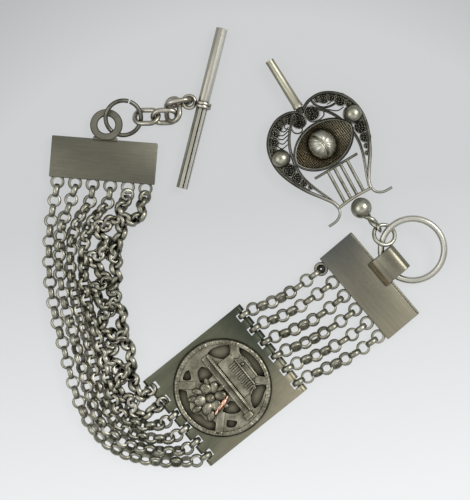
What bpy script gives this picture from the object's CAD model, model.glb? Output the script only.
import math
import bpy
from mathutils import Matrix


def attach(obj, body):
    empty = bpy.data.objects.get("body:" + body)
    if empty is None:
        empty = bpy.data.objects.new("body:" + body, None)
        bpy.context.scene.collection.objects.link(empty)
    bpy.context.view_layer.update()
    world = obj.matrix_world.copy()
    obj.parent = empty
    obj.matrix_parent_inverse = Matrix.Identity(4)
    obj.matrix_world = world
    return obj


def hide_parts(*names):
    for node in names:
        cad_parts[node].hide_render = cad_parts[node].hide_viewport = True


bl_info = {
    "name": "Chatelaine",
    "version": (1, 0, 0),
    "blender": (4, 5, 0),
    "location": "View3D > Sidebar > Chatelaine",
    "description": "Chains, plates, medallion, rings and lyre key of a silver waist chatelaine",
    "category": "Add Mesh",
}

from contextlib import contextmanager

import bmesh
import bpy
import numpy as np
from mathutils import Matrix, Vector

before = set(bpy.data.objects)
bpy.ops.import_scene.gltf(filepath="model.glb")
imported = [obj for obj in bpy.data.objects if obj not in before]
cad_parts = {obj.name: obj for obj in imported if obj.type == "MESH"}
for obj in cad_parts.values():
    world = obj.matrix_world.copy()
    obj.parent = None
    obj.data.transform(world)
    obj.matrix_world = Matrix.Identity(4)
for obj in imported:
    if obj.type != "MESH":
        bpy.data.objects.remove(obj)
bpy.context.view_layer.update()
BODY = "root"
MM = 0.001
HERE = Matrix.Identity(4)

# Places of the large pieces on the table: x and y in millimetres, the turn about z in degrees
TO_MIDDLE = (-0.65, 0.1)
TOP_PLACE = (-34.4, 21.9, -4.5)
RIGHT_PLACE = (31.9, -9.4, -49.8)
PLAQUE_PLACE = (-4.1, -34.15, 38.7)
BAR_PLACE = (-9.84, 34.7, 75.9)
KEY_PLACE = (29.7, 9.95, 32)
JUMP_RING_PLACE = (-29.4, 32.35, 24)
BIG_RING_PLACE = (42.4, -0.4, -28)

# Sizes in millimetres
BAR_HEIGHT = 2.15
BAR_LENGTH = 40.9
KEY_HEIGHT = 2.75
PLATE_SIZE = (26.3, 10.3, 2.36)
PLATE_EDGE = PLATE_SIZE[1] / 2
RINGS_PER_PLATE = 6
RING_PITCH = 4.4


# Helpers that every piece uses

def select(*pieces):
    bpy.ops.object.select_all(action="DESELECT")
    for piece in pieces:
        piece.select_set(True)
    bpy.context.view_layer.objects.active = pieces[0]


@contextmanager
def editing(piece, choice="SELECT"):
    """Opens a piece's mesh with all of it selected or deselected, and closes it again"""
    select(piece)
    bpy.ops.object.mode_set(mode="EDIT")
    bpy.ops.mesh.select_all(action=choice)
    try:
        yield
    finally:
        bpy.ops.object.mode_set(mode="OBJECT")


def at(place, height=0.0):
    """A place on the table, as a matrix in metres"""
    x, y, turn = place
    return moved(x + TO_MIDDLE[0], y + TO_MIDDLE[1], height) @ turned(turn, "Z")


def moved(x, y, z=0.0):
    return Matrix.Translation((x * MM, y * MM, z * MM))


def turned(degrees, axis):
    return Matrix.Rotation(math.radians(degrees), 4, axis)


def stretched(x, y, z):
    return Matrix.Diagonal((x, y, z, 1))


def settle(piece, place=HERE):
    """Puts a piece's own place and the given one into its mesh"""
    piece.data.transform(place @ piece.matrix_basis)
    piece.matrix_basis = HERE
    return piece


def apply_all(piece):
    select(piece)
    for modifier in list(piece.modifiers):
        bpy.ops.object.modifier_apply(modifier=modifier.name)
    return piece


def outward(piece, merge=1e-7):
    """Merges doubles and turns the faces outwards"""
    with editing(piece):
        bpy.ops.mesh.remove_doubles(threshold=merge)
        bpy.ops.mesh.normals_make_consistent(inside=False)
    return piece


def smoothed(piece, angle=40):
    select(piece)
    bpy.ops.object.shade_smooth_by_angle(angle=math.radians(angle))
    return piece


def joined(pieces):
    select(*pieces)
    if len(pieces) > 1:
        bpy.ops.object.join()
    return bpy.context.object


def copied(piece, place):
    """A copy of a piece with a mesh of its own, moved to a place"""
    other = piece.copy()
    other.data = piece.data.copy()
    other.data.transform(place)
    bpy.context.collection.objects.link(other)
    return other


def mirrored(piece):
    """A copy of a piece on the other side of x = 0"""
    other = copied(piece, stretched(-1, 1, 1))
    with editing(other):
        bpy.ops.mesh.flip_normals()
    return other


def painted(piece, finish_name):
    """Gives a part its finish before it is joined to others"""
    piece.data.materials.clear()
    piece.data.materials.append(FINISHES[finish_name])
    return piece


def finish(parts, name, replaced=(), place=HERE, angle=None, coat=None):
    """Joins a piece's parts, puts it in its place, names it and hangs it on the body"""
    piece = settle(joined(parts), place)
    piece.name = piece.data.name = name
    if angle:
        smoothed(piece, angle)
    if coat:
        painted(piece, coat)
    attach(piece, BODY)
    if replaced:
        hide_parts(*replaced)


# Shapes that more than one piece starts from, all given in millimetres

def smooth_route(points, steps):
    """A smooth curve through the points, with the same number of steps between each two"""
    points = [Vector(p) for p in points]
    last = len(points) - 1
    route = []
    for i in range(last):
        a, b, c = points[max(i - 1, 0)], points[i], points[i + 1]
        d = points[min(i + 2, last)]
        for k in range(steps):
            t = k / steps
            bend = 2 * b + (c - a) * t + (2 * a - 5 * b + 4 * c - d) * t ** 2
            route.append(0.5 * (bend + (3 * b - a - 3 * c + d) * t ** 3))
    return route + [points[-1]]


def loop(points):
    """A closed loop of edges through points"""
    bpy.ops.mesh.primitive_circle_add(vertices=len(points), radius=MM)
    piece = bpy.context.object
    for vertex, point in zip(piece.data.vertices, points):
        vertex.co = [c * MM for c in point]
    return piece


def spun(section, steps, turn=360.0):
    """Spins a closed section, given as (out, up), round the z axis"""
    piece = loop([(out, 0, up) for out, up in section])
    with editing(piece):
        if turn < 360:
            bpy.ops.mesh.edge_face_add()
        bpy.ops.mesh.spin(
            steps=steps, angle=math.radians(turn), center=(0, 0, 0), axis=(0, 0, 1))
    return outward(piece)


def ring(middle, radius, sides, steps, angle=80, turn=360.0):
    """A ring of round wire round the z axis"""
    corners = [math.tau * k / sides for k in range(sides)]
    section = [(middle + radius * math.cos(a), radius * math.sin(a)) for a in corners]
    return smoothed(spun(section, steps, turn), angle)


def band_section(middle, wall, band):
    """A ring's band: flat inside and on its two rims, chamfered towards the outside"""
    w, h = wall / 2, band / 2
    return [
        (middle - w, -h), (middle + w * 0.35, -h), (middle + w, -h * 0.6),
        (middle + w, h * 0.6), (middle + w * 0.35, h), (middle - w, h),
    ]


def wire(points, radius, closed=False, height=0.0, round_off=2):
    """A wire through the points, or with a height a strip on edge with round corners"""
    bpy.ops.curve.primitive_nurbs_path_add()
    piece = bpy.context.object
    curve = piece.data
    curve.splines.clear()
    spline = curve.splines.new("POLY")
    spline.points.add(len(points) - 1)
    for point, place in zip(spline.points, points):
        place = Vector(place).to_3d()
        point.co = (place.x * MM, place.y * MM, place.z * MM, 1)
    spline.use_cyclic_u = closed
    curve.dimensions = "2D" if height else "3D"
    curve.bevel_depth = radius * MM
    curve.bevel_resolution = round_off
    curve.extrude = height * MM
    curve.use_fill_caps = True
    select(piece)
    bpy.ops.object.convert(target="MESH")
    return outward(bpy.context.object)


def ball(radius, place=(0, 0, 0), sides=32, rings=16):
    bpy.ops.mesh.primitive_uv_sphere_add(
        segments=sides, ring_count=rings, radius=radius * MM, location=[v * MM for v in place])
    return smoothed(settle(bpy.context.object))


def cylinder(radius, long, sides, place=HERE):
    bpy.ops.mesh.primitive_cylinder_add(vertices=sides, radius=radius * MM, depth=long * MM)
    return settle(bpy.context.object, place)


def block(size, place=(0, 0, 0), bevel=0.0, segments=2):
    """A box with rounded edges, given its size and the place of its middle"""
    bpy.ops.mesh.primitive_cube_add(size=MM, location=[v * MM for v in place])
    piece = bpy.context.object
    piece.scale = size
    settle(piece)
    if bevel:
        with editing(piece):
            bpy.ops.mesh.bevel(offset=bevel * MM, segments=segments, affect="EDGES")
    return piece


def plate_from_outline(points, base, height):
    """A flat piece with the given outline, standing on base"""
    piece = loop([(x, y, base) for x, y in points])
    with editing(piece):
        bpy.ops.mesh.edge_face_add()
        bpy.ops.mesh.extrude_region_move(TRANSFORM_OT_translate={"value": (0, 0, height * MM)})
    return outward(piece)


def cut(piece, tool, keep=False):
    """Takes the tool's space out of a piece, and the tool away unless it is to be kept"""
    modifier = piece.modifiers.new("cut", "BOOLEAN")
    modifier.object = tool
    modifier.operation = "DIFFERENCE"
    modifier.solver = "EXACT"
    apply_all(piece)
    if not keep:
        bpy.data.objects.remove(tool)
    return piece


def bevelled(piece, width, segments=2, angle=45):
    modifier = piece.modifiers.new("edges", "BEVEL")
    modifier.width = width * MM
    modifier.segments = segments
    modifier.limit_method = "ANGLE"
    modifier.angle_limit = math.radians(angle)
    return apply_all(piece)


# Nodes of the finishes

def empty_tree(owner):
    """The emptied node tree of a new material or world"""
    owner.use_nodes = True
    owner.node_tree.nodes.clear()
    return owner.node_tree


def node(tree, kind, *fed, out=0, **named):
    """Makes a shader node and gives one of its outputs.
    Inputs are given by their order or by name, each as a value or as another node's output.
    Names in small letters are settings of the node."""
    made = tree.nodes.new("ShaderNode" + kind)
    made.location.x = 200 * len(tree.nodes)
    inputs = dict(enumerate(fed))
    for name, value in named.items():
        if name[0].islower():
            setattr(made, name, value)
        else:
            inputs[name.replace("_", " ")] = value
    for key, value in inputs.items():
        if isinstance(value, bpy.types.NodeSocket):
            tree.links.new(value, made.inputs[key])
        else:
            made.inputs[key].default_value = value
    return made.outputs[out] if made.outputs else None


def ranged(tree, value, start, end, low=0.0, high=1.0, **settings):
    """Spreads a value from one range over another"""
    return node(tree, "MapRange", value, start, end, low, high, **settings)


def mixed(tree, share, *colours):
    """Blends two colours, each given as values or as another node's output"""
    first, second = (c if isinstance(c, bpy.types.NodeSocket) else (*c, 1) for c in colours)
    return node(tree, "Mix", out="Result", data_type="RGBA", Factor=share, A=first, B=second)


def tarnished(name, bare, dull, hollow, rough=0.36, patch=0.25, reach=0.7, wear=1.0,
              rubbed=(0.1, 0.75), sweeps=(), brushed_along=None, alone=True):
    """Old silver: bare where it was rubbed, dull in patches, dark in hollows and on its sides"""
    material = bpy.data.materials.new(name)
    tree = empty_tree(material)
    spot = node(
        tree, "VectorMath", node(tree, "TexCoord", out="Object"), operation="SCALE", Scale=1 / MM)
    clouds = node(tree, "TexNoise", Vector=spot, Scale=patch, Detail=5.0, Roughness=0.6)
    metal = mixed(tree, ranged(tree, clouds, 0.36, 0.64), bare, dull)
    for sweep in sweeps:
        metal = swept(tree, spot, metal, *sweep)
    if brushed_along is not None:
        metal = brushed(tree, spot, metal, brushed_along)

    specks = node(tree, "TexNoise", Vector=spot, Scale=patch * 14, Detail=4.0, Roughness=0.7)
    hollows = node(
        tree, "AmbientOcclusion", out="AO", samples=6, only_local=alone, Distance=reach * MM)
    upward = node(tree, "SeparateXYZ", node(tree, "NewGeometry", out="Normal"), out="Z")
    level = node(tree, "Math", upward, operation="ABSOLUTE")
    open_metal = node(
        tree, "Math", ranged(tree, hollows, 0.35, 0.95), ranged(tree, level, *rubbed, 0.18),
        operation="MULTIPLY")
    speckle = node(tree, "Math", specks, 0.6 * wear, -0.32 * wear, operation="MULTIPLY_ADD")
    shown = node(tree, "Math", open_metal, speckle, operation="ADD", use_clamp=True)

    scratches = node(tree, "TexNoise", Vector=spot, Scale=30.0, Detail=2.0)
    height = node(tree, "Math", scratches, 0.25, specks, operation="MULTIPLY_ADD")
    bump = node(tree, "Bump", Strength=0.12, Distance=0.06 * MM, Height=height)
    shader = node(
        tree, "BsdfPrincipled", Metallic=1.0, Base_Color=mixed(tree, shown, hollow, metal),
        Roughness=ranged(tree, specks, 0, 1, rough * 0.75, rough * 1.3), Normal=bump)
    node(tree, "OutputMaterial", shader)
    return material


def brushed(tree, spot, metal, angle):
    """Fine streaks in the metal, along an angle in degrees on the table"""
    drawn_out = node(
        tree, "Mapping", spot, vector_type="TEXTURE", Rotation=(0, 0, math.radians(angle)),
        Scale=(14, 1, 1))
    streaks = node(tree, "TexNoise", Vector=drawn_out, Scale=2.2, Detail=3.0, Roughness=0.65)
    strength = ranged(tree, streaks, 0.3, 0.7, 0.91, 1.08)
    return node(tree, "VectorMath", metal, operation="SCALE", Scale=strength)


def swept(tree, spot, metal, start, end, colour):
    """Blends the metal into another colour along a line, given by its ends in millimetres"""
    start, end = Vector((*start, 0)), Vector((*end, 0))
    run = (end - start) / (end - start).length_squared
    from_start = node(tree, "VectorMath", spot, start, operation="SUBTRACT")
    along = node(tree, "VectorMath", from_start, run, out="Value", operation="DOT_PRODUCT")
    share = ranged(tree, along, 0, 1, interpolation_type="SMOOTHSTEP")
    return mixed(tree, share, metal, colour)


FINISHES = {}
FLAT = (-2, -1)  # a rubbed range below every slope, so that the sides aren't darker


def make_finishes(tones):
    """Each finish has its bare metal, its dull metal, and how it is worn"""
    black = tuple(tones.tarnish)
    looks = {
        "link_silver": (
            tones.bare_silver, tones.dull_silver, dict(patch=0.12, rubbed=(-0.1, 0.75))),
        "plate_silver": (
            (0.15, 0.145, 0.108), (0.13, 0.126, 0.096), dict(
                rough=0.46, patch=0.05, wear=0.15, rubbed=FLAT, brushed_along=TOP_PLACE[2])),
        "right_plate_silver": (
            (0.085, 0.09, 0.082), (0.095, 0.1, 0.09), dict(
                rough=0.4, patch=0.07, wear=0.15, rubbed=FLAT, brushed_along=RIGHT_PLACE[2],
                sweeps=[((23, 4), (32, -8), (0.21, 0.197, 0.148)),
                        ((32, -8), (41, -20), (0.3, 0.28, 0.2))])),
        "brown_stain": (
            (0.17, 0.14, 0.085), (0.1, 0.08, 0.045), dict(
                rough=0.45, patch=0.3, wear=0.8, rubbed=FLAT)),
        "plaque_silver": (
            (0.135, 0.138, 0.094), (0.115, 0.12, 0.082), dict(
                rough=0.42, patch=0.05, wear=0.2, rubbed=FLAT, brushed_along=PLAQUE_PLACE[2],
                sweeps=[((-9, -22), (-3, -15), (0.05, 0.057, 0.042)),
                        ((3, -26), (15, -34), (0.3, 0.275, 0.195))])),
        "bright_silver": (
            (0.62, 0.61, 0.53), (0.5, 0.49, 0.42), dict(
                rough=0.34, wear=0.35, patch=0.12, rubbed=(-0.1, 0.6))),
        "barrel_silver": (
            (0.47, 0.455, 0.35), (0.34, 0.325, 0.235), dict(
                rough=0.42, wear=0.5, patch=0.15, rubbed=(-0.1, 0.9))),
        "relief_silver": (
            (0.42, 0.395, 0.3), (0.18, 0.17, 0.118), dict(
                hollow=(0.018, 0.016, 0.009), rough=0.34, patch=0.35, reach=0.9, wear=0.9,
                rubbed=(0.35, 1.0))),
        "medallion_ground": (
            (0.2, 0.183, 0.13), (0.15, 0.138, 0.098), dict(
                hollow=(0.008, 0.007, 0.004), rough=0.5, patch=0.3, reach=1.5, wear=0.4,
                rubbed=FLAT, alone=False)),
        "cable_silver": (
            (0.62, 0.585, 0.5), (0.36, 0.34, 0.26), dict(rough=0.3, rubbed=(0.1, 0.8))),
        "toggle_silver": (
            (0.4, 0.385, 0.32), (0.33, 0.32, 0.255), dict(
                hollow=(0.05, 0.047, 0.035), rough=0.33, patch=0.1, wear=0.1, rubbed=(-0.2, 0.5),
                sweeps=[((-10.7, 34.4), (-9.5, 34.1), (0.74, 0.725, 0.65))])),
        "groove_grey": (
            (0.17, 0.165, 0.135), (0.14, 0.135, 0.11), dict(
                rough=0.5, patch=0.4, wear=0.1, rubbed=FLAT)),
        "washer_silver": (
            (0.2, 0.195, 0.15), (0.16, 0.155, 0.118), dict(
                rough=0.4, patch=0.3, wear=0.3, rubbed=(0.3, 1.0))),
        "strap_silver": (
            (0.25, 0.235, 0.175), (0.19, 0.18, 0.135), dict(
                rough=0.34, patch=0.1, wear=0.3, rubbed=FLAT)),
        "worn_copper": (
            (0.95, 0.62, 0.48), (0.8, 0.38, 0.24), dict(
                hollow=(0.25, 0.12, 0.06), rough=0.35, patch=0.5, wear=0.4)),
        "filigree_black": (
            (0.1, 0.097, 0.078), (0.03, 0.028, 0.021), dict(
                hollow=(0.004, 0.004, 0.003), patch=0.8, reach=0.8, rubbed=(0.6, 1.0))),
        "lyre_strip": (
            (0.12, 0.117, 0.095), (0.05, 0.048, 0.037), dict(
                hollow=(0.006, 0.006, 0.004), patch=0.3, wear=0.8, rubbed=(0.35, 1.0),
                sweeps=[((21.6, 21.9), (26.5, 14), (0.4, 0.39, 0.33))])),
        "lyre_string": (
            (0.25, 0.245, 0.195), (0.11, 0.107, 0.083), dict(
                hollow=(0.012, 0.011, 0.008), patch=0.3, wear=0.8, rubbed=(0.35, 1.0))),
        "ball_silver": (
            (0.52, 0.515, 0.43), (0.27, 0.262, 0.185), dict(
                rough=0.3, patch=0.45, wear=0.5, rubbed=(-0.4, 0.9))),
        "shell_silver": (
            (0.6, 0.59, 0.5), (0.4, 0.395, 0.32), dict(
                hollow=(0.1, 0.09, 0.065), rough=0.34, patch=0.4, reach=0.25, wear=0.5,
                rubbed=(-0.3, 0.5))),
        "woven_brown": (
            (0.7, 0.62, 0.45), (0.45, 0.39, 0.27), dict(
                hollow=(0.035, 0.03, 0.019), patch=0.1, reach=1.2, wear=0.3, rubbed=(0.3, 0.95),
                alone=False, sweeps=[((20, 26), (25, 30), (1.0, 0.93, 0.72))])),
        "cup_brown": (
            (0.095, 0.08, 0.048), (0.06, 0.05, 0.032), dict(
                hollow=(0.012, 0.01, 0.006), rough=0.5, patch=0.2, reach=1.2, wear=0.3,
                rubbed=FLAT, alone=False)),
    }
    for name, (bare, dull, worn) in looks.items():
        FINISHES[name] = tarnished(name, bare, dull, **{"hollow": black, **worn})


# Links

def link_places(node_name):
    """Middle and axis of each loose link of a strand's solids, in the order of the strand"""
    shape = bmesh.new()
    shape.from_mesh(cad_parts[node_name].data)
    bmesh.ops.remove_doubles(shape, verts=shape.verts, dist=1e-7)
    seen = set()
    places = []
    for first in shape.verts:
        if first in seen:
            continue
        island = []
        waiting = [first]
        seen.add(first)
        while waiting:
            vertex = waiting.pop()
            island.append(vertex.co.copy())
            for edge in vertex.link_edges:
                other = edge.other_vert(vertex)
                if other not in seen:
                    seen.add(other)
                    waiting.append(other)
        spread = np.array(island)
        axes = np.linalg.eigh(np.cov((spread - spread.mean(0)).T)).eigenvectors
        places.append((Vector((spread.min(0) + spread.max(0)) / 2), Vector(axes[:, 0])))
    shape.free()
    ordered = [places.pop(max(range(len(places)), key=lambda i: places[i][0].y))]
    while places:
        last = ordered[-1][0]
        nearest = min(range(len(places)), key=lambda i: (places[i][0] - last).length)
        ordered.append(places.pop(nearest))
    return ordered


def rolled(places, first, later, begin, wobble):
    """The same places, with the links rolled round the strand as ROLLS says"""
    turned_places = []
    last = len(places) - 1
    for i, (middle, axis) in enumerate(places):
        ahead = (places[min(i + 1, last)][0] - places[max(i - 1, 0)][0]).normalized()
        share = min(1, max(0, (i / last - begin) / 0.15))
        roll = first + (later - first) * share
        roll += wobble * (0.7 * math.sin(0.61 * i + later) + 0.5 * math.sin(2.3 * i))
        roll *= min(1, i / 3, (last - i) / 3)
        turned_places.append((middle, Matrix.Rotation(math.radians(roll), 3, ahead) @ axis))
    return turned_places


# How the links of each strand roll: degrees at first, degrees later, the share of the strand
# where that begins, and the wobble in degrees
ROLLS = {
    "strand_left_1": (0, 44, 0.58, 6), "strand_left_2": (12, 42, 0.4, 14),
    "strand_left_3": (26, 44, 0.3, 16), "strand_left_4": (36, 44, 0.15, 18),
    "strand_right_1": (10, 40, 0.3, 12), "strand_right_2": (8, 34, 0.35, 14),
    "strand_right_3": (14, 38, 0.4, 14), "strand_right_4": (6, 36, 0.25, 12),
    "strand_right_5": (10, 30, 0.45, 14), "strand_right_6": (4, 24, 0.3, 16),
}

# The two slack strands inside the bend: how many waves each has, how far it lies to the side in
# millimetres, and how much more it sways at its upper end
TANGLES = {"strand_left_5": (8, 0.35, 1.0), "strand_left_6": (6.5, 1.1, 0.15)}

# The sixth long strand's route, in millimetres, as its tube has it
SLACK_ROUTE = [
    (-24.1, 12.7, 1.7), (-24.3, 10.6, 1.7), (-26, 6.6, 2), (-28.6, 4.6, 2.4), (-30.4, 1.6, 1.7),
    (-29.8, -2.4, 2.2), (-31, -6.4, 1.7), (-29.8, -11, 2.2), (-30, -16, 1.7), (-27.6, -20.6, 2.2),
    (-27.6, -25.4, 1.7), (-26.2, -29.4, 2), (-26.35, -33.2, 1.7), (-25.3, -36.2, 1.7),
    (-22.6, -35.2, 1.7),
]


def slack_places(route, sizes, waves, aside, unruly):
    """Middle and axis of each link of a strand that lies in a tangle, from its route in metres"""
    upwards = Vector((0, 0, 1))
    last = len(route) - 1
    path = []
    for i, point in enumerate(route):
        ahead = (route[min(i + 1, last)] - route[max(i - 1, 0)]).normalized()
        side = ahead.cross(upwards).normalized()
        part = i / last
        ease = min(1, 6 * part, 6 * (1 - part))
        swing = math.sin(math.tau * waves * part)
        swing += 0.6 * math.sin(math.tau * 2.3 * waves * part + 1)
        sway = sizes.slack_sway * (1 + unruly * (1 - part)) * swing
        hump = sizes.slack_hump * (1 - math.cos(math.tau * (waves + 2) * part)) / 2
        path.append(
            point + side * ease * (sway + aside * MM) + upwards * (ease * hump + 0.12 * MM))
    runs = np.concatenate([[0], np.cumsum([(b - a).length for a, b in zip(path, path[1:])])])
    rows = np.array([tuple(p) for p in path])

    def spot(d):
        return Vector([float(np.interp(d, runs, rows[:, k])) for k in range(3)])

    places = []
    near = 0.8 * MM
    lean = math.radians(45)
    count = round(runs[-1] / sizes.slack_pitch)
    for i in range(count + 1):
        d = runs[-1] * i / count
        ahead = (spot(min(d + near, runs[-1])) - spot(max(d - near, 0))).normalized()
        side = ahead.cross(upwards).normalized()
        roll = (lean if i % 2 else -lean) + sizes.slack_roll * math.sin(2.3 * i + waves)
        tilt = 0.7 * sizes.slack_roll * math.sin(1.7 * i)
        turn = Matrix.Rotation(tilt, 3, side) @ Matrix.Rotation(roll, 3, ahead)
        places.append((spot(d), turn @ ahead.cross(side)))
    return places


class ChatelaineSizes(bpy.types.PropertyGroup):
    link_outer: bpy.props.FloatProperty(
        name="Link outer", description="Outer diameter of a rolo link",
        default=3.48 * MM, unit="LENGTH", precision=5)
    link_wall: bpy.props.FloatProperty(
        name="Link wall", description="Thickness of a rolo link's band",
        default=0.6 * MM, unit="LENGTH", precision=5)
    link_band: bpy.props.FloatProperty(
        name="Link band", description="Width of a rolo link's band",
        default=1.24 * MM, unit="LENGTH", precision=5)
    slack_pitch: bpy.props.FloatProperty(
        name="Slack pitch", description="Distance between links that lie in a tangle",
        default=1.68 * MM, unit="LENGTH", precision=5)
    slack_hump: bpy.props.FloatProperty(
        name="Slack hump", description="How high the slack strands hump",
        default=0.9 * MM, unit="LENGTH", precision=5)
    slack_sway: bpy.props.FloatProperty(
        name="Slack sway", description="How far the slack strands sway",
        default=1.0 * MM, unit="LENGTH", precision=5)
    slack_roll: bpy.props.FloatProperty(
        name="Slack roll", description="How far the links of the slack strands roll",
        default=math.radians(28), subtype="ANGLE")
    weave_pitch: bpy.props.FloatProperty(
        name="Weave pitch", description="Distance between wires of the woven cup",
        default=0.5 * MM, unit="LENGTH", precision=5)


class ChatelaineTones(bpy.types.PropertyGroup):
    bare_silver: bpy.props.FloatVectorProperty(
        name="Bare silver", description="Colour of the worn, bare metal of the links",
        subtype="COLOR", default=(0.47, 0.457, 0.37), min=0, max=1)
    dull_silver: bpy.props.FloatVectorProperty(
        name="Dull silver", description="Colour of the links' metal under light tarnish",
        subtype="COLOR", default=(0.23, 0.225, 0.165), min=0, max=1)
    tarnish: bpy.props.FloatVectorProperty(
        name="Tarnish", description="Colour of the blackened hollows",
        subtype="COLOR", default=(0.02, 0.019, 0.013), min=0, max=1)
    floor: bpy.props.FloatVectorProperty(
        name="Floor", description="Colour of the pale floor",
        subtype="COLOR", default=(0.762, 0.777, 0.783), min=0, max=1)
    floor_glow: bpy.props.FloatProperty(
        name="Floor glow", description="How strongly the floor shines, to keep shadows faint",
        subtype="FACTOR", default=0.822, min=0, max=2)


class CHATELAINE_OT_finishes(bpy.types.Operator):
    """Make the silver finishes"""
    bl_idname = "chatelaine.finishes"
    bl_label = "Finishes"

    def execute(self, context):
        make_finishes(context.scene.chatelaine_tones)
        return {"FINISHED"}


class CHATELAINE_OT_strands(bpy.types.Operator):
    """Lay the links of all the strands"""
    bl_idname = "chatelaine.strands"
    bl_label = "Strands of links"

    def execute(self, context):
        sizes = context.scene.chatelaine_sizes
        wall = sizes.link_wall / MM
        middle = sizes.link_outer / MM / 2 - wall / 2
        link = smoothed(spun(band_section(middle, wall, sizes.link_band / MM), 14), 80)
        for name in sorted(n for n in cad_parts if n.startswith("strand_")):
            if name in TANGLES:
                places = slack_places(self.slack_route(name), sizes, *TANGLES[name])
            else:
                places = rolled(link_places(name), *ROLLS[name])
            if len(places) < 2:
                raise RuntimeError(f"{name} has no row of links")
            links = []
            for spot, axis in places:
                turn = Vector((0, 0, 1)).rotation_difference(axis).to_matrix().to_4x4()
                links.append(copied(link, Matrix.Translation(spot) @ turn))
            finish(links, name + "_links", [name], coat="link_silver")
        bpy.data.objects.remove(link)
        return {"FINISHED"}

    def slack_route(self, name):
        """Route of a slack strand in metres: of its links, or of its tube if it is one"""
        if name == "strand_left_6":
            shift = Vector((*TO_MIDDLE, 0))
            return [(p + shift) * MM for p in smooth_route(SLACK_ROUTE, 12)]
        return smooth_route([middle for middle, axis in link_places(name)], 5)


def soldered_rings(reach):
    """The flat rings along one edge of an end plate, their middles a reach outside it"""
    outer, wall, band, height = 3.55, 0.66, 1.05, 1.5
    flat_ring = smoothed(spun(band_section((outer - wall) / 2, wall, band), 28), 70)
    painted(flat_ring, "link_silver")
    rings = [
        copied(flat_ring, moved(ring_x(k), -PLATE_EDGE - reach, height))
        for k in range(RINGS_PER_PLATE)
    ]
    bpy.data.objects.remove(flat_ring)
    return rings


def ring_x(number):
    return (number - (RINGS_PER_PLATE - 1) / 2) * RING_PITCH


def end_plate(roll_over):
    """The slab of an end plate, its upper top edge rounded by roll_over where that isn't 0"""
    slab = block(PLATE_SIZE, (0, 0, 1.2))
    if roll_over:
        with editing(slab, "DESELECT"):
            bpy.ops.mesh.select_mode(type="EDGE")
        for edge in slab.data.edges:
            ends = [slab.data.vertices[v].co for v in edge.vertices]
            edge.select = all(e.z > 2 * MM and e.y > 0 for e in ends)
        bpy.ops.object.mode_set(mode="EDIT")
        bpy.ops.mesh.bevel(offset=roll_over * MM, segments=4, affect="EDGES")
        bpy.ops.object.mode_set(mode="OBJECT")
    return bevelled(slab, 0.22, 2, 50)


class CHATELAINE_OT_top_plate(bpy.types.Operator):
    """Model the top plate with its rings and its washer eye"""
    bl_idname = "chatelaine.top_plate"
    bl_label = "Top plate"

    def execute(self, context):
        middle_x, height, tilt = 0.1, 2.12, -10
        eye = smoothed(spun(self.washer_section(2.2, 4.05, 0.6, 0.24), 64), 50)
        settle(eye, moved(middle_x, PLATE_EDGE + 3.6, height) @ turned(tilt, "X"))
        cut(eye, block((9, 2, 4), (middle_x, PLATE_EDGE - 1, 2)))
        neck = block((6, 0.8, 1.1), (middle_x, PLATE_EDGE + 0.12, height), 0.12)
        body = [
            painted(end_plate(0), "plate_silver"), painted(eye, "washer_silver"),
            painted(neck, "plate_silver"),
        ]
        finish(body + soldered_rings(1.1), "top_plate_silver", ["top_plate"],
               at(TOP_PLACE), 40)
        return {"FINISHED"}

    def washer_section(self, inner, outer, thick, chamfer):
        h = thick / 2
        return [
            (inner, chamfer - h), (inner + chamfer, -h), (outer - chamfer, -h),
            (outer, chamfer - h), (outer, h - chamfer), (outer - chamfer, h),
            (inner + chamfer, h), (inner, h - chamfer),
        ]


class CHATELAINE_OT_right_plate(bpy.types.Operator):
    """Model the right plate with its rings and its strap loop"""
    bl_idname = "chatelaine.right_plate"
    bl_label = "Right plate"

    def execute(self, context):
        strap_x, ring_reach = -0.8, 1.4
        clogged = settle(
            ring(0.75, 0.5, 10, 6, 20), moved(ring_x(0), -PLATE_EDGE - ring_reach, 1.5))
        tongue = block((7.1, 2.0, 0.5), (strap_x, PLATE_EDGE - 1.1, 2.5), 0.15, 2)
        rolled_edge = block((26.0, 0.55, 0.36), (0, PLATE_EDGE - 0.42, 2.28), 0.15, 3)
        body = [
            painted(end_plate(0.9), "right_plate_silver"),
            painted(settle(self.strap(), moved(strap_x, PLATE_EDGE)), "strap_silver"),
            painted(tongue, "brown_stain"), painted(rolled_edge, "strap_silver"),
        ]
        rings = soldered_rings(ring_reach) + [painted(clogged, "filigree_black")]
        finish(body + rings, "right_plate_silver", ["right_plate"],
               at(RIGHT_PLACE), 40)
        return {"FINISHED"}

    def strap(self):
        """The strap, bent over from the plate's face and back under its edge"""
        half_width, half_thick = 3.45, 0.12
        nose_radius, nose_x, nose_z = 1.8, 3.85, 2.05
        path = [(-1.9, 2.62), (-0.9, 2.62), (0.2, 3.1), (1.4, 3.82), (nose_x, 3.85)]
        for k in range(1, 11):
            a = math.pi * k / 10
            path.append((nose_x + nose_radius * math.sin(a), nose_z + nose_radius * math.cos(a)))
        path += [(1.4, 0.25), (0.05, 0.25), (0.02, 1.2), (0.02, 2.2)]
        strap = wire([(x, z, 0) for x, z in path], half_thick, height=half_width - half_thick)
        return settle(strap, turned(90, "Z") @ turned(90, "X"))


class CHATELAINE_OT_rings(bpy.types.Operator):
    """Model the jump ring and the big ring"""
    bl_idname = "chatelaine.rings"
    bl_label = "Jump ring and big ring"

    def execute(self, context):
        jump = ring(4.4, 0.55, 12, 60, 60, 354)
        jump_place = at(JUMP_RING_PLACE, 2.05) @ turned(19, "X") @ turned(44, "Z")
        finish([jump], "jump_ring_wire", ["jump_ring"], jump_place,
               coat="lyre_string")
        big = ring(7.8, 0.8, 16, 96)
        finish([big], "big_ring_wire", ["big_ring"],
               at(BIG_RING_PLACE, 3.05) @ turned(12, "X"), coat="bright_silver")
        return {"FINISHED"}


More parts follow.
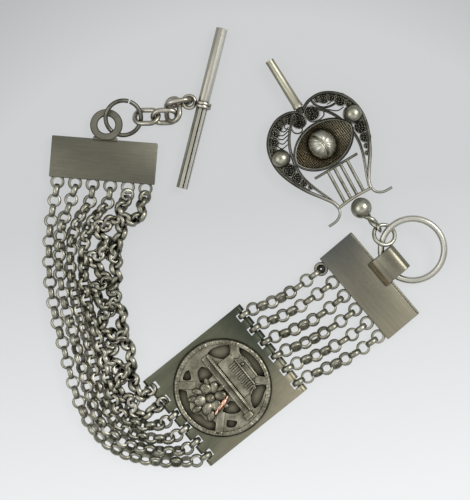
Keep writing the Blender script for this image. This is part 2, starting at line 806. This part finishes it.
# The four oval links: x and y on the table, heading, height, climb and roll, in millimetres and
# degrees
CABLE_LINKS = [
    (-23.65, 32.65, 0, 1.9, 10, -31), (-19.05, 32.7, 2, 2.15, -4, 44),
    (-17.05, 34.3, 94, 2.2, -16, -34), (-15.6, 36, 10, 3.05, -7, 79),
]


class CHATELAINE_OT_toggle(bpy.types.Operator):
    """Model the toggle bar and its short chain of oval links"""
    bl_idname = "chatelaine.toggle"
    bl_label = "Toggle bar and oval links"

    def execute(self, context):
        self.oval_links()
        collar_middle, collar_half, groove = 0.8, 0.38, 0.18
        upper = plate_from_outline(
            self.section(0), collar_middle, BAR_LENGTH / 2 - collar_middle)
        lower_length = BAR_LENGTH / 2 + collar_middle
        lower = plate_from_outline(self.section(groove), -BAR_LENGTH / 2, lower_length)
        painted(lower, "toggle_silver").data.materials.append(FINISHES["groove_grey"])
        for face in lower.data.polygons:
            if abs(face.normal.z) < 0.5 and face.area < 2 * groove * lower_length * MM ** 2:
                face.material_index = 1
        lengthwise = turned(90, "Y")
        parts = [
            painted(bevelled(settle(upper, lengthwise), 0.08, 2, 30), "toggle_silver"),
            settle(lower, lengthwise),
        ]
        for x in (collar_middle - collar_half, collar_middle + collar_half):
            collar = bevelled(cylinder(2.13, 0.78, 40, moved(x, 0) @ lengthwise), 0.3, 3, 40)
            parts.append(painted(collar, "cable_silver"))
        eye = settle(ring(1.5, 0.5, 12, 40), moved(collar_middle, 3.5))
        parts.append(painted(eye, "cable_silver"))
        finish(parts, "toggle_bar_silver", ["toggle_bar"],
               at(BAR_PLACE, BAR_HEIGHT), 20)
        return {"FINISHED"}

    def oval_links(self):
        half_straight, bend, thick = 1.0, 2.0, 0.64
        half = []
        for k in range(13):
            a = math.pi * (k / 12 - 0.5)
            half.append((half_straight + bend * math.cos(a), bend * math.sin(a), 0))
        link = smoothed(wire(half + [(-x, -y, 0) for x, y, z in half], thick, closed=True), 80)
        for number, (x, y, heading, height, climb, roll) in enumerate(CABLE_LINKS, 1):
            name = f"cable_link_{number}"
            place = at((x, y, heading), height) @ turned(-climb, "Y") @ turned(roll, "X")
            finish([copied(link, place)], name + "_wire", [name],
                   coat="cable_silver")
        bpy.data.objects.remove(link)

    def section(self, groove):
        """The eight-sided section of the bar, with a groove along each edge if it isn't 0"""
        corner, lean = 1.45, math.radians(6)
        steps = [(corner, -lean), (corner - groove, 0), (corner, lean)] if groove else [(corner, 0)]
        turns = [math.tau * k / 8 + math.radians(10) for k in range(8)]
        return [
            (radius * math.cos(a + turn), radius * math.sin(a + turn))
            for a in turns for radius, turn in steps
        ]


class CHATELAINE_OT_plaque(bpy.types.Operator):
    """Model the centre plaque with its rolled, notched sides and the rods in them"""
    bl_idname = "chatelaine.plaque"
    bl_label = "Centre plaque"

    def execute(self, context):
        reach, width, tube, bore, rod = 14.3, 27.0, 1.2, 0.75, 0.45
        notch_size, notch_pitch = (3.85, 2.0, 6), 4.3
        sides = {side: moved(side * reach, 0, tube) @ turned(90, "X") for side in (-1, 1)}
        sheet = block((2 * reach, width, 0.68), (0, 0, 2.04), 0.08)
        rolls = {
            side: cut(cylinder(tube, width, 40, place), cylinder(bore, width + 2, 32, place))
            for side, place in sides.items()
        }
        for k in range(6):
            for side, roll in rolls.items():
                notch = block(notch_size, (side * (reach + 0.475), (k - 2.5) * notch_pitch, tube))
                cut(sheet, notch, keep=True)
                cut(roll, notch)
        parts = [bevelled(part, 0.09) for part in (sheet, *rolls.values())]
        for place in sides.values():
            parts.append(bevelled(cylinder(rod, width - 0.6, 20, place), 0.1))
        finish(parts, "centre_plaque_silver", ["centre_plaque"],
               at(PLAQUE_PLACE), 35, "plaque_silver")
        return {"FINISHED"}


# Windows of the pierced medallion, outline points in millimetres from its middle
WINDOWS = [
    [(2.4, 9.0), (3.8, 9.2), (5.6, 8.7), (7.2, 7.8), (7.9, 7.0), (6.1, 5.0), (4.5, 5.5),
     (3.0, 7.3)],
    [(9.5, 5.2), (10.3, 3.9), (10.8, 2.1), (10.9, -0.2), (10.7, -2.6), (10.1, -4.3), (8.8, -3.1),
     (8.9, -0.9), (9.1, 1.8), (8.7, 3.5), (9.0, 4.6)],
    [(6.4, -4.3), (8.8, -6.2), (7.5, -7.4), (4.9, -8.8), (2.9, -8.9), (3.5, -6.9), (4.5, -5.6)],
    [(-0.5, -3.6), (0.3, -4.9), (0.2, -7.1), (-1.3, -7.1), (-2.6, -6.2), (-3.4, -5.1),
     (-3.4, -4.3)],
    [(-4.1, -6.9), (-2.4, -8.7), (-3.5, -9.4), (-4.7, -8.9), (-5.1, -7.9)],
    [(-8.6, 6.5), (-8.1, 5.8), (-7.5, 4.9), (-8.2, 3.6), (-8.6, 2.2), (-9.4, 1.0), (-9.4, -0.8),
     (-8.3, -1.8), (-8.1, -3.7), (-6.7, -5.4), (-8.0, -7.0), (-9.5, -5.4), (-10.7, -3.1),
     (-11, 0.3), (-10.6, 3.3), (-9.7, 5.3)],
    [(-3.7, 8.6), (-4.8, 6.5), (-6.4, 7.7), (-4.8, 8.8)],
    [(-0.7, 7.4), (0.1, 5.9), (0.0, 3.9), (-3.2, 4.1), (-3.2, 5.5), (-2.3, 7.0)],
]

# Bars on the medallion: start, end, width, height and bevel. First the ends of the crossed bars,
# then the ridge and its foot, then the fluted field with its steps
BARS = [
    ((-7.9, -8.5), (-4.0, -4.4), 2.1, 0.2, 0.2), ((7.0, 3.6), (9.1, 6.6), 2.0, 0.2, 0.2),
    ((-8.4, 7.4), (-4.8, 4.6), 2.0, 0.2, 0.2), ((7.6, -3.4), (9.7, -5.6), 2.0, 0.2, 0.2),
    ((1.35, 8.9), (1.35, -8.9), 2.3, 0.4, 0.3), ((1.95, 8.7), (1.95, -8.6), 0.6, 0.95, 0.25),
    ((0.4, 7.9), (0.4, -8.5), 0.35, 0.5, 0.12), ((-0.4, -9.4), (1.9, -9.3), 1.7, 0.6, 0.25),
    ((4.6, 5.4), (4.6, -5.3), 4.1, 0.22, 0.2), ((7.6, 3.4), (7.6, -3.0), 2.0, 0.35, 0.25),
    ((6.75, 3.7), (6.75, -4.4), 0.45, 0.62, 0.2), ((6.75, -4.4), (4.3, -5.6), 0.4, 0.6, 0.16),
    ((8.55, 2.2), (8.55, -3.2), 0.4, 0.6, 0.16), ((6.75, 3.7), (8.4, 2.4), 0.35, 0.55, 0.12),
]

# Petals and leaves of the flower: x, y, length, width, height, lean in degrees
PETALS = [
    (-3.4, 2.3, 1.5, 1.25, 0.8, 95), (-1.7, 1.3, 1.5, 1.0, 0.75, 40),
    (-1.7, -1.1, 1.6, 1.15, 0.8, -30), (-3.9, -2.3, 1.5, 1.3, 0.85, -95),
    (-6.0, -1.6, 1.7, 1.2, 0.8, -150), (-6.2, 0.9, 1.6, 1.3, 0.8, 160),
    (-5.3, 3.0, 1.4, 0.7, 0.55, 130), (-0.4, 0.2, 1.2, 0.7, 0.6, 5),
    (-6.4, -3.5, 1.5, 0.9, 0.6, -140), (-8.1, -0.2, 1.3, 0.8, 0.55, 178),
    (-7.3, 2.3, 1.3, 0.7, 0.5, 150), (-2.2, -3.4, 1.2, 0.6, 0.5, -70),
    (-2.3, 3.4, 1.2, 0.55, 0.5, 70), (-4.0, -0.1, 1.25, 1.15, 1.05, 0),
]

# Dabs of bare copper along the flower's edge: x, y, length, width, lean in degrees
COPPER_DABS = [
    (-4.9, -3.75, 0.9, 0.42, 24), (-3.5, -3.3, 1.2, 0.6, 4), (-2.0, -3.0, 1.2, 0.72, 20),
    (-0.7, -2.6, 0.8, 0.4, 30),
]


class CHATELAINE_OT_medallion(bpy.types.Operator):
    """Model the pierced medallion with its toothed rim, struts, flutes and flower"""
    bl_idname = "chatelaine.medallion"
    bl_label = "Medallion"

    base, top, reach = 2.44, 3.54, 12.3

    def execute(self, context):
        disc = cylinder(self.reach - 0.35, 1.0, 96, moved(0, 0, self.base + 0.6))
        for corners in WINDOWS:
            route = smooth_route([(*p, 0) for p in corners + corners[:1]], 4)[:-1]
            cut(disc, plate_from_outline([(p.x, p.y) for p in route], self.base - 1, 4))
        parts = [bevelled(disc, 0.16, 3)] + self.rim() + self.bars() + self.flower()
        for part in parts:
            painted(part, "relief_silver")
        for x, y, long, wide, lean in COPPER_DABS:
            spot = moved(x, y, self.top + 0.42) @ turned(lean, "Z") @ stretched(long, wide, 0.6)
            parts.append(painted(settle(ball(1.0, sides=16, rings=8), spot), "worn_copper"))
        place = at(PLAQUE_PLACE) @ moved(-0.8, 0)
        finish(parts, "medallion_relief", ["medallion"], place, 50)
        ground = cylinder(11.6, 0.08, 72, moved(0, 0, self.base))
        finish([ground], "medallion_ground_plate", (), place,
               coat="medallion_ground")
        return {"FINISHED"}

    def bar(self, start, end, wide, high, bevel):
        """A bar on the disc between two points, standing up from it by its height"""
        start, end = Vector(start), Vector(end)
        run, middle, sunk = end - start, (start + end) / 2, 0.4
        piece = block((run.length, wide, high + sunk), (0, 0, (high - sunk) / 2), bevel, 3)
        lean = math.degrees(math.atan2(run.y, run.x))
        return settle(piece, moved(middle.x, middle.y, self.top) @ turned(lean, "Z"))

    def rim(self):
        """The rim, the thin lip round it, and the ring of small billets on it"""
        inner, reach, base, top = 10.85, self.reach, self.base, self.top
        band = [
            (inner, top - 0.4), (inner + 0.1, top + 0.12), (inner + 0.25, top + 0.2),
            (reach - 0.55, top + 0.2), (reach - 0.4, top + 0.05), (reach - 0.35, base + 0.1),
            (inner, base + 0.1),
        ]
        lip = [
            (reach - 0.14, base), (reach + 0.02, base + 0.1), (reach, top - 0.5),
            (reach - 0.1, top - 0.42), (reach - 0.2, top - 0.5),
        ]
        parts = [spun(band, 96), spun(lip, 96)]
        billet = block((0.95, 0.8, 0.3), bevel=0.1)
        count = 44
        for k in range(count):
            bend = 3.0 * math.sin(5.1 * k)
            lift = top + 0.17 + 0.07 * math.sin(3.7 * k)
            place = turned(360 * k / count, "Z") @ moved(inner + 0.52, 0, lift)
            parts.append(copied(billet, place @ turned(bend * 2.5, "X") @ turned(bend, "Y")))
        bpy.data.objects.remove(billet)
        return parts

    def bars(self):
        """The bars, the ridge's slanting teeth, the flutes and the knob beside them"""
        parts = [self.bar(*row) for row in BARS]
        teeth, flutes = 40, 7
        for k in range(teeth):
            y = 8.2 - 16.6 * k / teeth
            parts.append(self.bar((0.75, y), (1.6, y + 0.25), 0.2, 0.48, 0.08))
        for k in range(flutes):
            y = 2.9 - 1.2 * k
            high = 0.55 + 0.08 * math.sin(3 * k)
            parts.append(self.bar((4.3, y - 0.1), (6.5, y + 0.1), 0.62, high, 0.26))
        return parts + [ball(0.6, (7.6, 1.5, self.top + 0.3), 14, 8)]

    def flower(self):
        """Petals and leaves heaped round a middle, on the left half of the disc"""
        petal = ball(1.0, sides=18, rings=9)
        vein = ball(1.0, sides=12, rings=6)
        parts = [copied(petal, moved(-4.3, -0.2, self.top - 0.1) @ stretched(4.2, 4.0, 0.42))]
        for x, y, long, wide, high, lean in PETALS:
            place = moved(x, y, self.top + 0.06) @ turned(lean, "Z") @ turned(-7, "Y")
            parts.append(copied(petal, place @ stretched(1.15 * long, 1.25 * wide, high)))
            for side in (-0.55, 0.05, 0.6):
                spot = place @ moved(0.25 * long, side * wide, high * 0.8)
                spot = spot @ turned(12 * side, "Z")
                parts.append(copied(vein, spot @ stretched(0.6 * long, 0.17 * wide, 0.25 * high)))
        bpy.data.objects.remove(petal)
        bpy.data.objects.remove(vein)
        return parts


# Routes of the lyre, right half, in millimetres in the key's own frame
LOBE_ROUTE = [
    (0.7, 28.4), (3.2, 29.5), (6.5, 29.4), (9.6, 27.6), (11.7, 24.8), (12.6, 21.4),
    (12.4, 18), (11.2, 14.4), (9.2, 10.6), (6.8, 7.2), (5.2, 4.8), (4.7, 3),
]
FOOT_ROUTE = [(4.7, 3.4), (5.2, 1.6), (6.8, 0.5), (9.2, 0.3)]
INNER_ROUTE = [
    (3.6, 27.2), (5.8, 24.8), (7.2, 22.4), (8, 20), (8.5, 17.4), (8.5, 14.4), (7.8, 11.4),
    (6.8, 8.8), (5.7, 6.2), (4.8, 3.6),
]
BASE_ROUTE = [(-4.8, 2.9), (-2.4, 3.1), (0, 3.2), (2.4, 3.1), (4.8, 2.9)]
CROSSBAR_ROUTE = [(-5.9, 12.25), (0.2, 12.1), (6.3, 11.95)]
STRINGS = [(-2.2, -2.7), (-0.4, -0.95), (1.4, 0.85), (3.3, 2.7)]  # x of the upper and lower end

# Coils of the filigree, right half and left half: middle x, middle y, radius, angle of the start
COILS = [
    (6.5, 28.0, 1.05, 60), (8.3, 27.4, 1.0, 20), (9.9, 25.5, 1.3, 120), (2.1, 26.4, 1.6, 90),
    (10.9, 23.9, 0.6, 10), (10.6, 17.1, 1.4, 60), (10.2, 14.4, 1.1, 80), (9.3, 12.4, 0.55, 0),
    (8.5, 10.8, 0.45, 60), (4.9, 28.6, 0.6, 0), (11.6, 18.9, 0.4, 0),
    (-1.7, 26.5, 1.6, 60), (-3.4, 28.2, 1.25, 90), (-5.2, 28.5, 0.95, 0), (-6.9, 27.9, 1.0, 60),
    (-8.5, 26.9, 1.05, 90), (-9.9, 25.2, 1.15, 30), (-10.9, 23.6, 0.75, 0), (-10.1, 17.3, 1.4, 60),
    (-9.6, 14.7, 1.15, 120), (-8.8, 12.7, 0.75, 0), (-7.9, 11.0, 0.5, 0), (-11.5, 18.8, 0.4, 0),
]

# Tendrils between coils and strips: half the width, then the route
TENDRILS = [
    (0.3, [(3.6, 29.3), (3.9, 27.8), (5.1, 26.2), (7.0, 25.5), (8.7, 25.5)]),
    (0.14, [(6.3, 29.4), (5.3, 28.9), (5.2, 27.6), (6.5, 26.8), (7.4, 27.4)]),
    (0.13, [(3.8, 26.6), (5.9, 25.1), (7.8, 23.6), (9.6, 23.6)]),
    (0.12, [(6.4, 26.3), (7.7, 26.3), (8.8, 26.6)]),
    (0.13, [(-6.9, 26.7), (-6.0, 26.1), (-4.7, 26.6)]),
    (0.13, [(-7.9, 26.2), (-6.9, 25.5), (-5.2, 25.8)]),
    (0.13, [(-8.5, 25.6), (-7.5, 24.7), (-5.6, 25.0)]),
    (0.13, [(-8.9, 24.7), (-8.0, 23.7), (-6.1, 24.2)]),
    (0.13, [(-9.6, 24.0), (-8.8, 22.8), (-7.2, 23.0)]),
    (0.13, [(-5.1, 27.6), (-5.6, 26.8), (-4.9, 26.0)]),
]
SCROLLS = [
    [(3.5, 29.4), (1.9, 28.9), (0.7, 27.9), (0.35, 26.4), (0.7, 24.9), (1.9, 24.2), (3.2, 24.1),
     (4.4, 24.5), (4.7, 25.5), (4.0, 26.0)],
    [(-3.9, 26.7), (-4.3, 25.6), (-4.2, 24.6), (-3.4, 23.9), (-2.4, 23.9), (-1.9, 24.6)],
    [(-0.4, 28.2), (-0.2, 26.8), (-0.5, 25.2), (-1.6, 24.7), (-2.7, 25.0)],
]


def strip(points, half_wide, half_high):
    route = smooth_route([(*p, 0) for p in points], 6)
    return wire(route, half_wide, height=half_high - half_wide)


class CHATELAINE_OT_lyre(bpy.types.Operator):
    """Model the lyre's frame, its strings and the bridge between its lobes"""
    bl_idname = "chatelaine.lyre"
    bl_label = "Lyre frame"

    def execute(self, context):
        second = [(x - 0.42, y - 0.1) for x, y in INNER_ROUTE]
        strips = [
            strip(LOBE_ROUTE, 0.42, 0.8), strip(FOOT_ROUTE, 0.32, 0.5),
            strip(INNER_ROUTE, 0.17, 0.55), strip(second, 0.17, 0.62),
        ]
        strips += [mirrored(half) for half in strips]
        strips += [strip(route, 0.17, 0.6) for route in SCROLLS]
        strips.append(block((1.9, 1.7, 1.0), (0, 28.4, -0.2), 0.25))
        strings = [strip(CROSSBAR_ROUTE, 0.34, 0.5)]
        strings += [strip([(high, 12.0), (low, 3.0)], 0.41, 0.44) for high, low in STRINGS]
        parts = [painted(part, "lyre_strip") for part in strips]
        parts.append(painted(strip(BASE_ROUTE, 0.38, 0.6), "barrel_silver"))
        parts += [painted(part, "lyre_string") for part in strings]
        finish(parts, "lyre_strips", ["key_frame"], at(KEY_PLACE, KEY_HEIGHT), 45)
        return {"FINISHED"}


class CHATELAINE_OT_filigree(bpy.types.Operator):
    """Model the coils, grains and tendrils that fill the lyre's lobes"""
    bl_idname = "chatelaine.filigree"
    bl_label = "Filigree"

    def execute(self, context):
        lining = strip([(x - 0.62, y - 0.3) for x, y in LOBE_ROUTE[2:-3]], 0.22, 0.55)
        dark = [lining, mirrored(lining)]
        grains = []
        grain = painted(ball(0.15, sides=6, rings=4), "lyre_string")
        for x, y, drawn_radius, begin in COILS:
            radius = 1.16 * drawn_radius
            dark.append(self.coil(x, y, radius, begin))
            dark.append(cylinder(0.96 * radius, 0.4, 20, moved(x, y, -0.15)))
            for far, a, high in self.grain_places(radius):
                spot = moved(x + far * math.cos(a), y + far * math.sin(a), high)
                grains.append(copied(grain, spot))
        bpy.data.objects.remove(grain)
        dark += [strip(route, half, 0.45) for half, route in TENDRILS]
        parts = [painted(part, "filigree_black") for part in dark] + grains
        finish(parts, "lyre_filigree", (), at(KEY_PLACE, KEY_HEIGHT), 60)
        return {"FINISHED"}

    def coil(self, x, y, radius, begin):
        """A tight coil of fine wire, lying flat"""
        thick, pitch, half_high, wound = 0.12, 0.37, 0.5, 0.88
        turns = wound * radius / pitch
        steps = max(12, int(16 * turns))
        points = []
        for k in range(steps + 1):
            t = k / steps
            far = radius * (1 - wound * t)
            a = math.radians(begin + 360 * turns * t)
            points.append((x + far * math.cos(a), y + far * math.sin(a), 0))
        return wire(points, thick, height=half_high - thick, round_off=1)

    def grain_places(self, radius):
        """Distance, angle and height of the grains round a coil and scattered on it"""
        edge, pitch, per_radius = radius + 0.1, 0.33, 9
        around = round(math.tau * edge / pitch)
        places = [(edge, math.tau * k / around, 0.42) for k in range(around)]
        scattered = radius * per_radius
        for k in range(round(scattered)):
            places.append((0.85 * radius * math.sqrt((k + 0.5) / scattered), 2.4 * k, 0.5))
        return places


class CHATELAINE_OT_balls(bpy.types.Operator):
    """Model the lyre's three balls with their seats, the twisted neck and the eye"""
    bl_idname = "chatelaine.balls"
    bl_label = "Balls, neck and eye"

    def execute(self, context):
        parts = [ball(2.62)]
        seat = ring(2.3, 0.2, 8, 40)
        for x in (-10.5, 10.6):
            parts += [ball(2.42, (x, 20.9, 0)), copied(seat, moved(x, 20.9, -0.7))]
        low_seat = turned(90, "X") @ moved(0, 0, 1.3) @ stretched(0.9, 0.9, 0.9)
        parts.append(settle(seat, low_seat))
        parts += self.neck(Vector((0.1, -1.8, 0)), Vector((1.05, -6.5, 0.2)))
        eye_place = moved(1.3, -8.7, 0.3) @ turned(-60, "Z") @ turned(-22, "X")
        wrap_place = moved(1.1, -6.5, 0.3) @ turned(80, "Z") @ turned(70, "X")
        parts.append(settle(ring(2.65, 0.52, 12, 44), eye_place))
        parts.append(settle(ring(1.0, 0.3, 10, 28), wrap_place))
        finish(parts, "lyre_balls_and_eye", (), at(KEY_PLACE, KEY_HEIGHT), 60,
               "ball_silver")
        return {"FINISHED"}

    def neck(self, start, end):
        """Two thick wires that twist round each other and draw together towards the end"""
        steps, turns, radius, apart, drawn_in = 32, 0.8, 0.6, 0.5, 0.35
        ahead = (end - start).normalized()
        side = ahead.cross(Vector((0, 0, 1))).normalized()
        up = side.cross(ahead)
        wires = []
        for half_turn in (0, math.pi):
            points = []
            for k in range(steps + 1):
                t = k / steps
                a = half_turn + turns * math.tau * t
                away = math.cos(a) * side + math.sin(a) * up
                points.append(start.lerp(end, t) + apart * (1 - drawn_in * t) * away)
            wires.append(smoothed(wire(points, radius), 80))
        return wires


# The cup: half its length, half its width, and how full its ends are
CUP_LENGTH, CUP_WIDTH, CUP_FULLNESS = 8.05, 5.3, 0.62


def cup_half_width(u):
    """Half the cup's width at a distance u from its middle"""
    return CUP_WIDTH * max(1 - (u / CUP_LENGTH) ** 2, 0) ** CUP_FULLNESS


def cup_half_length(v):
    """Half the cup's length at a distance v to the side of its middle"""
    return CUP_LENGTH * math.sqrt(max(1 - (abs(v) / CUP_WIDTH) ** (1 / CUP_FULLNESS), 0))


def cup_height(u, v):
    """Height of the cup's inside, a part of a large ball that rises from its middle to its rim"""
    middle, radius = 12.3, 13.0
    return middle - math.sqrt(radius ** 2 - u * u - v * v)


class CHATELAINE_OT_cup(bpy.types.Operator):
    """Model the woven cup and its rim wires"""
    bl_idname = "chatelaine.cup"
    bl_label = "Woven cup"

    def execute(self, context):
        place = at(KEY_PLACE, KEY_HEIGHT) @ moved(0.35, 18.25) @ turned(4, "Z")
        parts = [
            painted(self.rim_wire(0.0, 0.24, 0.62), "lyre_string"),
            painted(self.rim_wire(0.42, 0.17, 0.4), "lyre_strip"),
            painted(self.bowl(), "cup_brown"),
        ]
        finish(parts, "cup_bowl", ["key_cup"], place)
        pitch = context.scene.chatelaine_sizes.weave_pitch / MM
        wires = self.weave(pitch, CUP_WIDTH, cup_half_length, True)
        wires += self.weave(pitch, CUP_LENGTH, cup_half_width, False)
        if not wires:
            raise RuntimeError("the weave's pitch leaves no wire in the cup")
        finish(wires, "cup_weave", (), place, 60, "woven_brown")
        return {"FINISHED"}

    def rim_wire(self, out, thick, low):
        """A wire round the cup's edge, a distance outside it"""
        count = 72
        points = []
        for k in range(count):
            a = math.tau * k / count
            u = CUP_LENGTH * math.cos(a)
            v = math.copysign(cup_half_width(u), math.sin(a))
            away = Vector((u / CUP_LENGTH ** 2, v / CUP_WIDTH ** 2, 0)).normalized() * out
            points.append((u + away.x, v + away.y, cup_height(u, v) * 0.6 + low))
        return smoothed(wire(points, thick, closed=True), 80)

    def bowl(self):
        """A thin dished sheet that fills the cup's outline"""
        bpy.ops.mesh.primitive_grid_add(x_subdivisions=48, y_subdivisions=20, size=2)
        sheet = bpy.context.object
        for vertex in sheet.data.vertices:
            u = 0.995 * CUP_LENGTH * math.sin(math.pi / 2 * vertex.co.x)
            v = vertex.co.y * cup_half_width(u)
            vertex.co = (u * MM, v * MM, (cup_height(u, v) - 0.12) * MM)
        modifier = sheet.modifiers.new("wall", "SOLIDIFY")
        modifier.thickness = 0.18 * MM
        modifier.offset = -1
        return smoothed(outward(apply_all(sheet), 1e-8), 60)

    def weave(self, pitch, reach, half_at, lengthwise):
        """The fine wires of one direction, which go over and under those of the other"""
        wires = []
        count = int(reach * 0.97 / pitch)
        for k in range(-count, count + 1):
            across = k * pitch
            half = half_at(across) - 0.15
            steps = int(2 * half / pitch)
            if steps < 2:
                continue
            points = []
            for i in range(steps + 1):
                along = -half + 2 * half * i / steps
                lift = 0.09 if (i + k + lengthwise) % 2 else -0.06
                u, v = (along, across) if lengthwise else (across, along)
                points.append((u, v, cup_height(u, v) + 0.02 + lift))
            wires.append(wire(points, 0.1, round_off=0))
        return wires


class CHATELAINE_OT_shell(bpy.types.Operator):
    """Model the fluted shell in the cup and the barrel with its square hole"""
    bl_idname = "chatelaine.shell"
    bl_label = "Shell and barrel"

    def execute(self, context):
        key = at(KEY_PLACE, KEY_HEIGHT)
        finish([self.shell(3.5, 3.0, 1.08)], "fluted_shell", ["key_shell"],
               key @ moved(0.15, 18.5, -0.1) @ turned(4, "Z"), coat="shell_silver")
        finish([self.barrel()], "key_barrel_silver", ["key_barrel"],
               key @ moved(0, 29.3) @ turned(-90, "X"), coat="barrel_silver")
        return {"FINISHED"}

    def shell(self, radius, high, long):
        """A longish dome with flutes that run out from a bent groove"""
        bpy.ops.mesh.primitive_uv_sphere_add(segments=96, ring_count=48, radius=radius * MM)
        dome = bpy.context.object
        with editing(dome):
            bpy.ops.mesh.bisect(
                plane_co=(0, 0, 0), plane_no=(0, 0, 1), clear_inner=True, use_fill=True)
        for vertex in dome.data.vertices:
            x, y, z = (c / MM for c in vertex.co)
            if z < 0.02:
                continue
            bent = x - 0.3 + 0.09 * (y + 0.4) ** 2
            lean = math.atan2(y + 0.3 * x, abs(bent) + 0.5)
            flute = 0.13 * abs(math.sin(7.5 * lean)) * min(abs(bent) / 0.6, 1)
            groove = 0.75 * math.exp(-(bent / 0.36) ** 2) * min(z, 1)
            low = 1 - (flute + groove - 0.02) / radius
            vertex.co = (x * low * MM, y * long * low * MM, z * low * MM * high / radius)
        return smoothed(outward(dome, 1e-8), 50)

    def barrel(self):
        """The tapered barrel with a turned foot and the square hole in its tip"""
        profile = [
            (1.3, 0), (1.3, 0.9), (1.2, 1.05), (1.05, 13.3), (1.09, 13.4), (1.09, 13.75),
            (1.0, 13.8), (0.0, 13.8), (0.0, 0),
        ]
        return smoothed(cut(spun(profile, 32), block((1.1, 1.1, 6), (0, 0, 11.8))), 35)


class CHATELAINE_OT_stage(bpy.types.Operator):
    """Set the pale floor, the soft studio light and the camera"""
    bl_idname = "chatelaine.stage"
    bl_label = "Stage"

    def execute(self, context):
        self.floor(context.scene.chatelaine_tones)
        self.sky()
        self.lights()
        self.camera()
        return {"FINISHED"}

    def floor(self, tones):
        """A pale floor, brighter in front than behind, and dimmer away from the object"""
        bpy.ops.mesh.primitive_plane_add(size=3.0, location=(0, 0, -0.02 * MM))
        floor = settle(bpy.context.object)
        floor.name = "floor"
        material = bpy.data.materials.new("pale_floor")
        tree = empty_tree(material)
        place = node(tree, "TexCoord", out="Object")
        slope = node(
            tree, "VectorMath", place, (0.35, -2.6, 0), out="Value", operation="DOT_PRODUCT")
        away = node(
            tree, "VectorMath", place, (0.006, -0.03, 0), out="Value", operation="DISTANCE")
        shade = node(
            tree, "Math", ranged(tree, slope, -0.03, 0.17, 0.96, 1.36),
            ranged(tree, away, 0.088, 0.118, 1.0, 0.75), operation="MULTIPLY")
        tone = node(tree, "VectorMath", tones.floor, operation="SCALE", Scale=shade)
        paper = node(tree, "BsdfDiffuse", Color=tone)
        glow = node(tree, "Emission", Color=tone, Strength=tones.floor_glow)
        share_of_glow = 0.9
        node(tree, "OutputMaterial", node(tree, "MixShader", share_of_glow, paper, glow))
        floor.data.materials.append(material)

    def sky(self):
        """A soft dome of light: bright high up, dark at its foot and round the camera"""
        world = bpy.data.worlds.new("studio")
        bpy.context.scene.world = world
        tree = empty_tree(world)
        upward = node(tree, "SeparateXYZ", node(tree, "TexCoord", out="Generated"), out="Z")
        colour = node(tree, "ValToRGB", upward)
        steps = colour.node.color_ramp.elements
        steps[0].color = (0.3, 0.31, 0.33, 1)
        steps[1].color = (0.3, 0.3, 0.3, 1)
        for high, bright in ((0.45, 0.35), (0.65, 0.8), (0.82, 1.0), (0.95, 0.9), (0.985, 0.4)):
            steps.new(high).color = (bright, bright, bright * 1.02, 1)
        node(tree, "OutputWorld", node(tree, "Background", Color=colour, Strength=1.0))

    def lights(self):
        """Two large soft boxes, one on each side"""
        for name, spot, power, size in (
            ("soft_box_right", (0.4, 0.2, 0.5), 1.9, 0.26),
            ("soft_box_left", (-0.45, -0.1, 0.5), 0.7, 0.4),
        ):
            bpy.ops.object.light_add(type="AREA", location=spot)
            lamp = bpy.context.object
            lamp.name = name
            lamp.data.energy = power
            lamp.data.size = size
            lamp.rotation_euler = (-Vector(spot)).to_track_quat("-Z", "Y").to_euler()

    def camera(self):
        """Looks straight down, so that the picture is 125 mm high at the surface"""
        distance, picture_high, sensor = 0.4, 0.125, 24
        bpy.ops.object.camera_add(location=(-2.28 * MM, -0.4 * MM, distance), rotation=(0, 0, 0))
        camera = bpy.context.object
        camera.data.sensor_fit = "VERTICAL"
        camera.data.sensor_height = sensor
        camera.data.lens = sensor * distance / picture_high
        camera.data.clip_start = 0.01
        camera.data.clip_end = 10
        bpy.context.scene.camera = camera
        bpy.context.scene.view_settings.view_transform = "Standard"


class CHATELAINE_PT_panel(bpy.types.Panel):
    """Lists the sizes, the tones and the pieces of the chatelaine"""
    bl_idname = "CHATELAINE_PT_panel"
    bl_label = "Chatelaine"
    bl_space_type = "VIEW_3D"
    bl_region_type = "UI"
    bl_category = "Chatelaine"

    def draw(self, context):
        for group in (context.scene.chatelaine_sizes, context.scene.chatelaine_tones):
            for name in group.bl_rna.properties.keys():
                if name not in ("name", "rna_type"):
                    self.layout.prop(group, name)
        for step in STEPS:
            self.layout.operator(step.bl_idname)


STEPS = (
    CHATELAINE_OT_finishes,
    CHATELAINE_OT_strands,
    CHATELAINE_OT_top_plate,
    CHATELAINE_OT_right_plate,
    CHATELAINE_OT_rings,
    CHATELAINE_OT_toggle,
    CHATELAINE_OT_plaque,
    CHATELAINE_OT_medallion,
    CHATELAINE_OT_lyre,
    CHATELAINE_OT_filigree,
    CHATELAINE_OT_balls,
    CHATELAINE_OT_cup,
    CHATELAINE_OT_shell,
    CHATELAINE_OT_stage,
)
CLASSES = (ChatelaineSizes, ChatelaineTones) + STEPS + (CHATELAINE_PT_panel,)


def register():
    for cls in CLASSES:
        bpy.utils.register_class(cls)
    bpy.types.Scene.chatelaine_sizes = bpy.props.PointerProperty(type=ChatelaineSizes)
    bpy.types.Scene.chatelaine_tones = bpy.props.PointerProperty(type=ChatelaineTones)


def unregister():
    del bpy.types.Scene.chatelaine_sizes
    del bpy.types.Scene.chatelaine_tones
    for cls in reversed(CLASSES):
        bpy.utils.unregister_class(cls)


def main():
    register()
    for step in STEPS:
        group, operator = step.bl_idname.split(".")
        getattr(getattr(bpy.ops, group), operator)()


if __name__ == "__main__":
    main()
